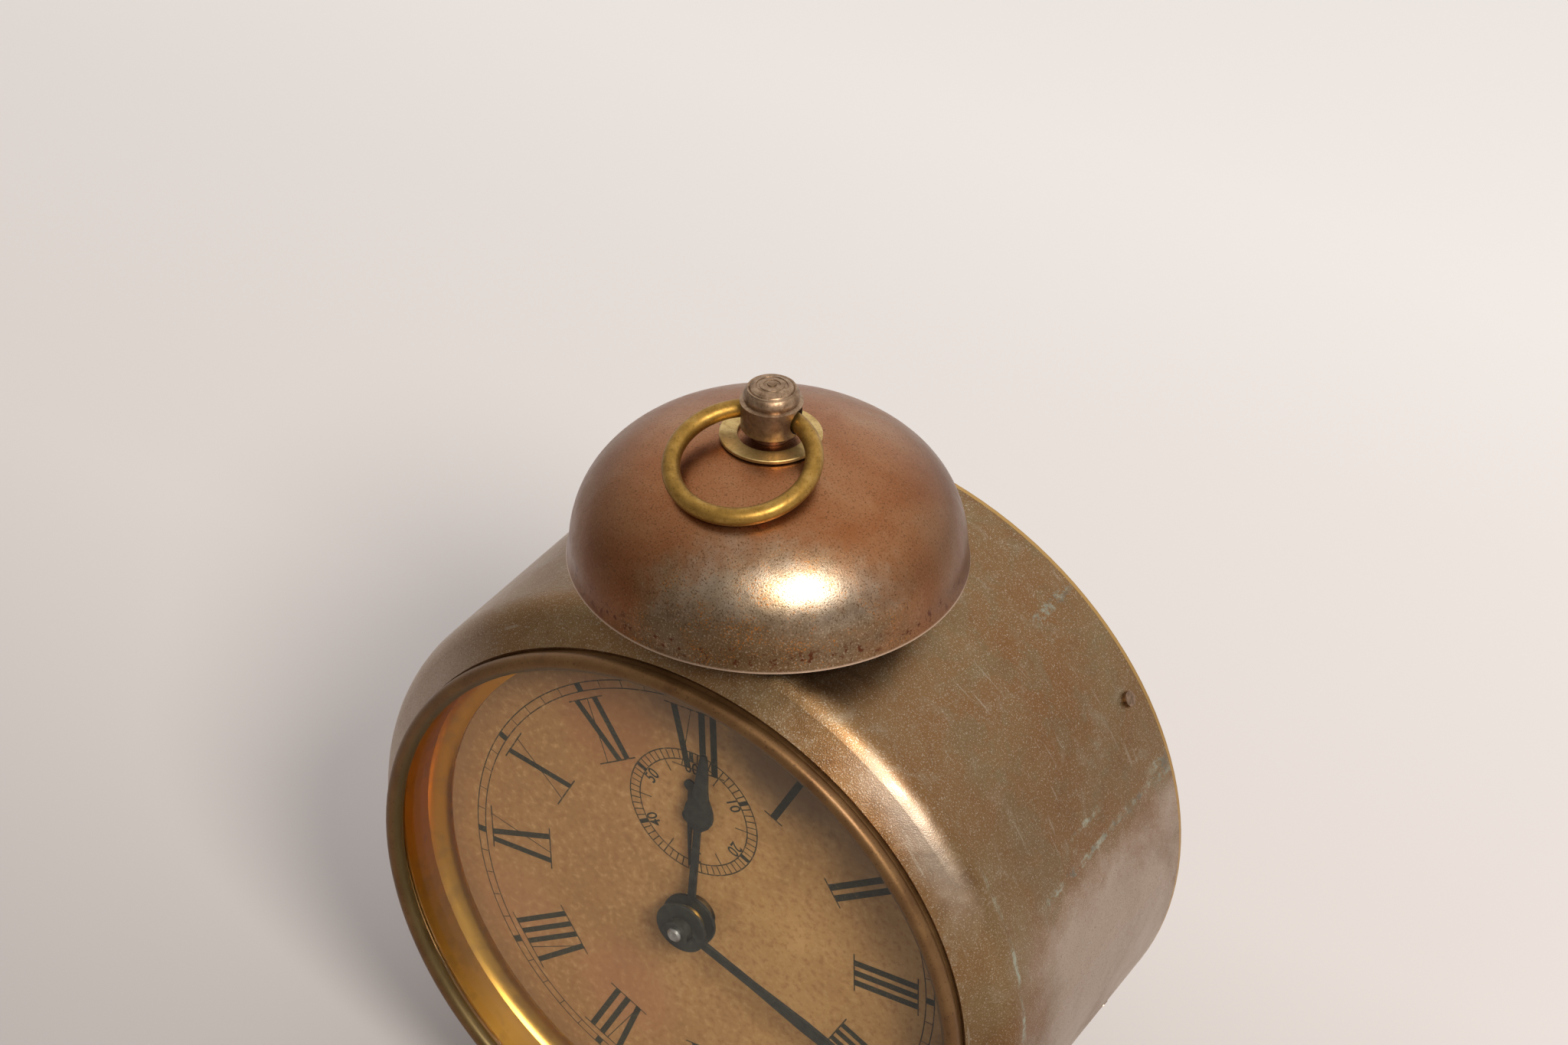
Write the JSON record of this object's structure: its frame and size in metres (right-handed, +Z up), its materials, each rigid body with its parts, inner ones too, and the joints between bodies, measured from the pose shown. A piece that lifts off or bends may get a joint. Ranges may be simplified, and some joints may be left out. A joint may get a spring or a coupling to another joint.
{
  "type": "mechanical alarm clock",
  "caption": "Drum-cased wind-up alarm clock with a bell on top, a ringed finial, roman dial, seconds dial, hands, wheel trains, escapement, hammer, winding keys and set knobs.",
  "frame": {"origin": "on the surface the feet stand on, in the middle of the clock's box seen from above", "axes": "+Z up, the dial faces -Y, +X is right as seen from the front; the drum axis runs along Y"},
  "size_m": [0.1142, 0.0794, 0.15],
  "materials": {
    "bead": "worn coppery bead, brown tarnish",
    "case": "worn nickel over brass, brown and olive tarnish",
    "case_trim": "worn turned brass",
    "bell": "worn nickel over brass, brown tarnish, rust spots near the rim",
    "washer": "dull olive brass",
    "finial": "dark brown-grey turned brass",
    "ring": "tarnished yellow brass",
    "glass": "clear flat glass",
    "sight": "bright gold lacquered brass",
    "dial": "aged printed paper on sheet metal, tan with brown stains",
    "hands": "blackened steel",
    "cover": "brushed brass, tarnished",
    "copper_screw": "coppery screw head",
    "works_brass": "brushed brass",
    "works_steel": "plain steel",
    "blued_steel": "spring steel",
    "key": "worn brass key",
    "knob": "worn fluted brass"
  },
  "bodies": {
    "case": {"bezel_ring": "bead", "front_shoulder": "case", "glass": "glass", "sight_ring": "sight", "dial": "dial", "dial_posts": "works_brass", "case_band": "case", "front_feet": "case_trim", "rear_foot": "case_trim", "foot_nuts": "works_steel", "back_cover": "cover", "side_screws": "copper_screw", "bell_post": "works_steel", "post_nut": "works_steel", "bell": "bell", "bell_washer": "washer", "finial": "finial", "front_plate": "works_brass", "back_plate": "works_brass", "pillars": "works_brass", "pillar_nuts": "works_steel", "cover_posts": "works_brass", "cover_screws": "works_steel", "bearing_screws": "works_steel", "hairspring": "blued_steel", "time_mainspring": "blued_steel", "alarm_mainspring": "blued_steel"},
    "carry_ring": {"carry_ring": "ring"},
    "minute_train": {"centre_arbor": "works_steel", "cannon_pinion": "works_brass", "minute_hand": "hands", "hand_nut": "works_brass", "set_knob": "knob"},
    "minute_wheel": {"minute_wheel": "works_brass"},
    "hour_train": {"hour_wheel": "works_brass", "hour_hand": "hands"},
    "alarm_wheel": {"alarm_wheel": "works_brass"},
    "alarm_setting": {"alarm_arbor": "works_steel", "alarm_knob": "knob", "alarm_hand": "hands"},
    "release_lever": {"release_lever": "works_steel"},
    "fourth_wheel": {"fourth_wheel": "works_brass", "seconds_hand": "hands"},
    "great_wheel": {"time_great_wheel": "works_brass", "time_click": "works_steel"},
    "centre_wheel": {"centre_wheel": "works_brass"},
    "third_wheel": {"third_wheel": "works_brass"},
    "escape_wheel": {"escape_wheel": "works_brass"},
    "pallet_lever": {"pallet_lever": "works_steel"},
    "balance": {"balance": "works_brass"},
    "regulator": {"regulator": "works_steel"},
    "time_winding": {"time_winding_arbor": "works_steel", "time_key": "key"},
    "alarm_winding": {"alarm_winding_arbor": "works_steel", "alarm_key": "key"},
    "alarm_great_wheel": {"alarm_great_wheel": "works_brass", "alarm_click": "works_steel"},
    "alarm_escape_wheel": {"alarm_escape_wheel": "works_brass"},
    "hammer": {"hammer": "works_steel"},
    "stop_lever": {"stop_lever": "works_steel"}
  },
  "joints": [
    {"name": "carry_ring_swing", "type": "hinge", "parent": "case", "child": "carry_ring", "pos_m": [0.00095, -0.00979, 0.1448], "axis": [-0.9945, -0.1045, 0], "range_deg": [0, 147.1]},
    {"name": "hands_turn", "type": "hinge", "parent": "case", "child": "minute_train", "pos_m": [0, -0.01986, 0.06215], "axis": [0, 1, 0], "continuous": true},
    {"name": "minute_wheel_turn", "type": "hinge", "parent": "case", "child": "minute_wheel", "pos_m": [-0.01128, -0.01986, 0.05805], "axis": [0, 1, 0], "continuous": true},
    {"name": "hour_hand_turn", "type": "hinge", "parent": "case", "child": "hour_train", "pos_m": [0, -0.02686, 0.06215], "axis": [0, 1, 0], "continuous": true},
    {"name": "alarm_wheel_turn", "type": "hinge", "parent": "case", "child": "alarm_wheel", "pos_m": [0, -0.02486, 0.03335], "axis": [0, 1, 0], "continuous": true},
    {"name": "alarm_setting_turn", "type": "hinge", "parent": "case", "child": "alarm_setting", "pos_m": [0, -0.01986, 0.03335], "axis": [0, 1, 0], "continuous": true},
    {"name": "release_lever_swing", "type": "hinge", "parent": "case", "child": "release_lever", "pos_m": [-0.016, -0.01986, 0.03515], "axis": [0, -1, 0], "range_deg": [0, 4]},
    {"name": "seconds_turn", "type": "hinge", "parent": "case", "child": "fourth_wheel", "pos_m": [-0.00081, -0.01986, 0.0815], "axis": [0, 1, 0], "continuous": true},
    {"name": "great_wheel_turn", "type": "hinge", "parent": "case", "child": "great_wheel", "pos_m": [0.01765, -0.01486, 0.04836], "axis": [0, 1, 0], "continuous": true},
    {"name": "centre_wheel_turn", "type": "hinge", "parent": "case", "child": "centre_wheel", "pos_m": [0, -0.01686, 0.06215], "axis": [0, 1, 0], "continuous": true},
    {"name": "third_wheel_turn", "type": "hinge", "parent": "case", "child": "third_wheel", "pos_m": [0.01196, -0.01986, 0.07308], "axis": [0, 1, 0], "continuous": true},
    {"name": "escape_wheel_turn", "type": "hinge", "parent": "case", "child": "escape_wheel", "pos_m": [0.01056, -0.01986, 0.09105], "axis": [0, 1, 0], "continuous": true},
    {"name": "pallet_lever_swing", "type": "hinge", "parent": "case", "child": "pallet_lever", "pos_m": [0.01836, -0.01986, 0.08655], "axis": [0, 1, 0], "range_deg": [-5, 5]},
    {"name": "balance_swing", "type": "hinge", "parent": "case", "child": "balance", "pos_m": [0.02823, 0.00114, 0.08296], "axis": [0, 1, 0], "range_deg": [-150, 150], "stiffness_Nm_per_rad": 0.000012},
    {"name": "regulator_swing", "type": "hinge", "parent": "case", "child": "regulator", "pos_m": [0.02823, 0.00914, 0.08296], "axis": [0, 1, 0], "range_deg": [-22, 22]},
    {"name": "time_winding_turn", "type": "hinge", "parent": "case", "child": "time_winding", "pos_m": [0.01765, -0.01986, 0.04836], "axis": [0, 1, 0], "continuous": true},
    {"name": "alarm_winding_turn", "type": "hinge", "parent": "case", "child": "alarm_winding", "pos_m": [-0.01765, -0.01986, 0.04836], "axis": [0, 1, 0], "continuous": true},
    {"name": "alarm_great_wheel_turn", "type": "hinge", "parent": "case", "child": "alarm_great_wheel", "pos_m": [-0.01765, -0.01186, 0.04836], "axis": [0, 1, 0], "continuous": true},
    {"name": "alarm_escape_wheel_turn", "type": "hinge", "parent": "case", "child": "alarm_escape_wheel", "pos_m": [-0.02408, -0.01986, 0.06426], "axis": [0, 1, 0], "continuous": true},
    {"name": "hammer_swing", "type": "hinge", "parent": "case", "child": "hammer", "pos_m": [-0.02562, -0.01986, 0.07303], "axis": [0, -1, 0], "range_deg": [0, 4.5]},
    {"name": "stop_lever_swing", "type": "hinge", "parent": "case", "child": "stop_lever", "pos_m": [-0.0195, 0.00914, 0.09515], "axis": [0, -1, 0], "range_deg": [0, 8]}
  ],
  "couplings": [
    {"joint": "minute_wheel_turn", "follows": "hands_turn", "ratio": -0.33333},
    {"joint": "hour_hand_turn", "follows": "hands_turn", "ratio": 0.083333},
    {"joint": "alarm_wheel_turn", "follows": "hands_turn", "ratio": -0.083333},
    {"joint": "third_wheel_turn", "follows": "seconds_turn", "ratio": -0.13333},
    {"joint": "centre_wheel_turn", "follows": "seconds_turn", "ratio": 0.016667},
    {"joint": "great_wheel_turn", "follows": "seconds_turn", "ratio": -0.0027778},
    {"joint": "escape_wheel_turn", "follows": "seconds_turn", "ratio": -8},
    {"joint": "alarm_escape_wheel_turn", "follows": "alarm_great_wheel_turn", "ratio": -6}
  ]
}
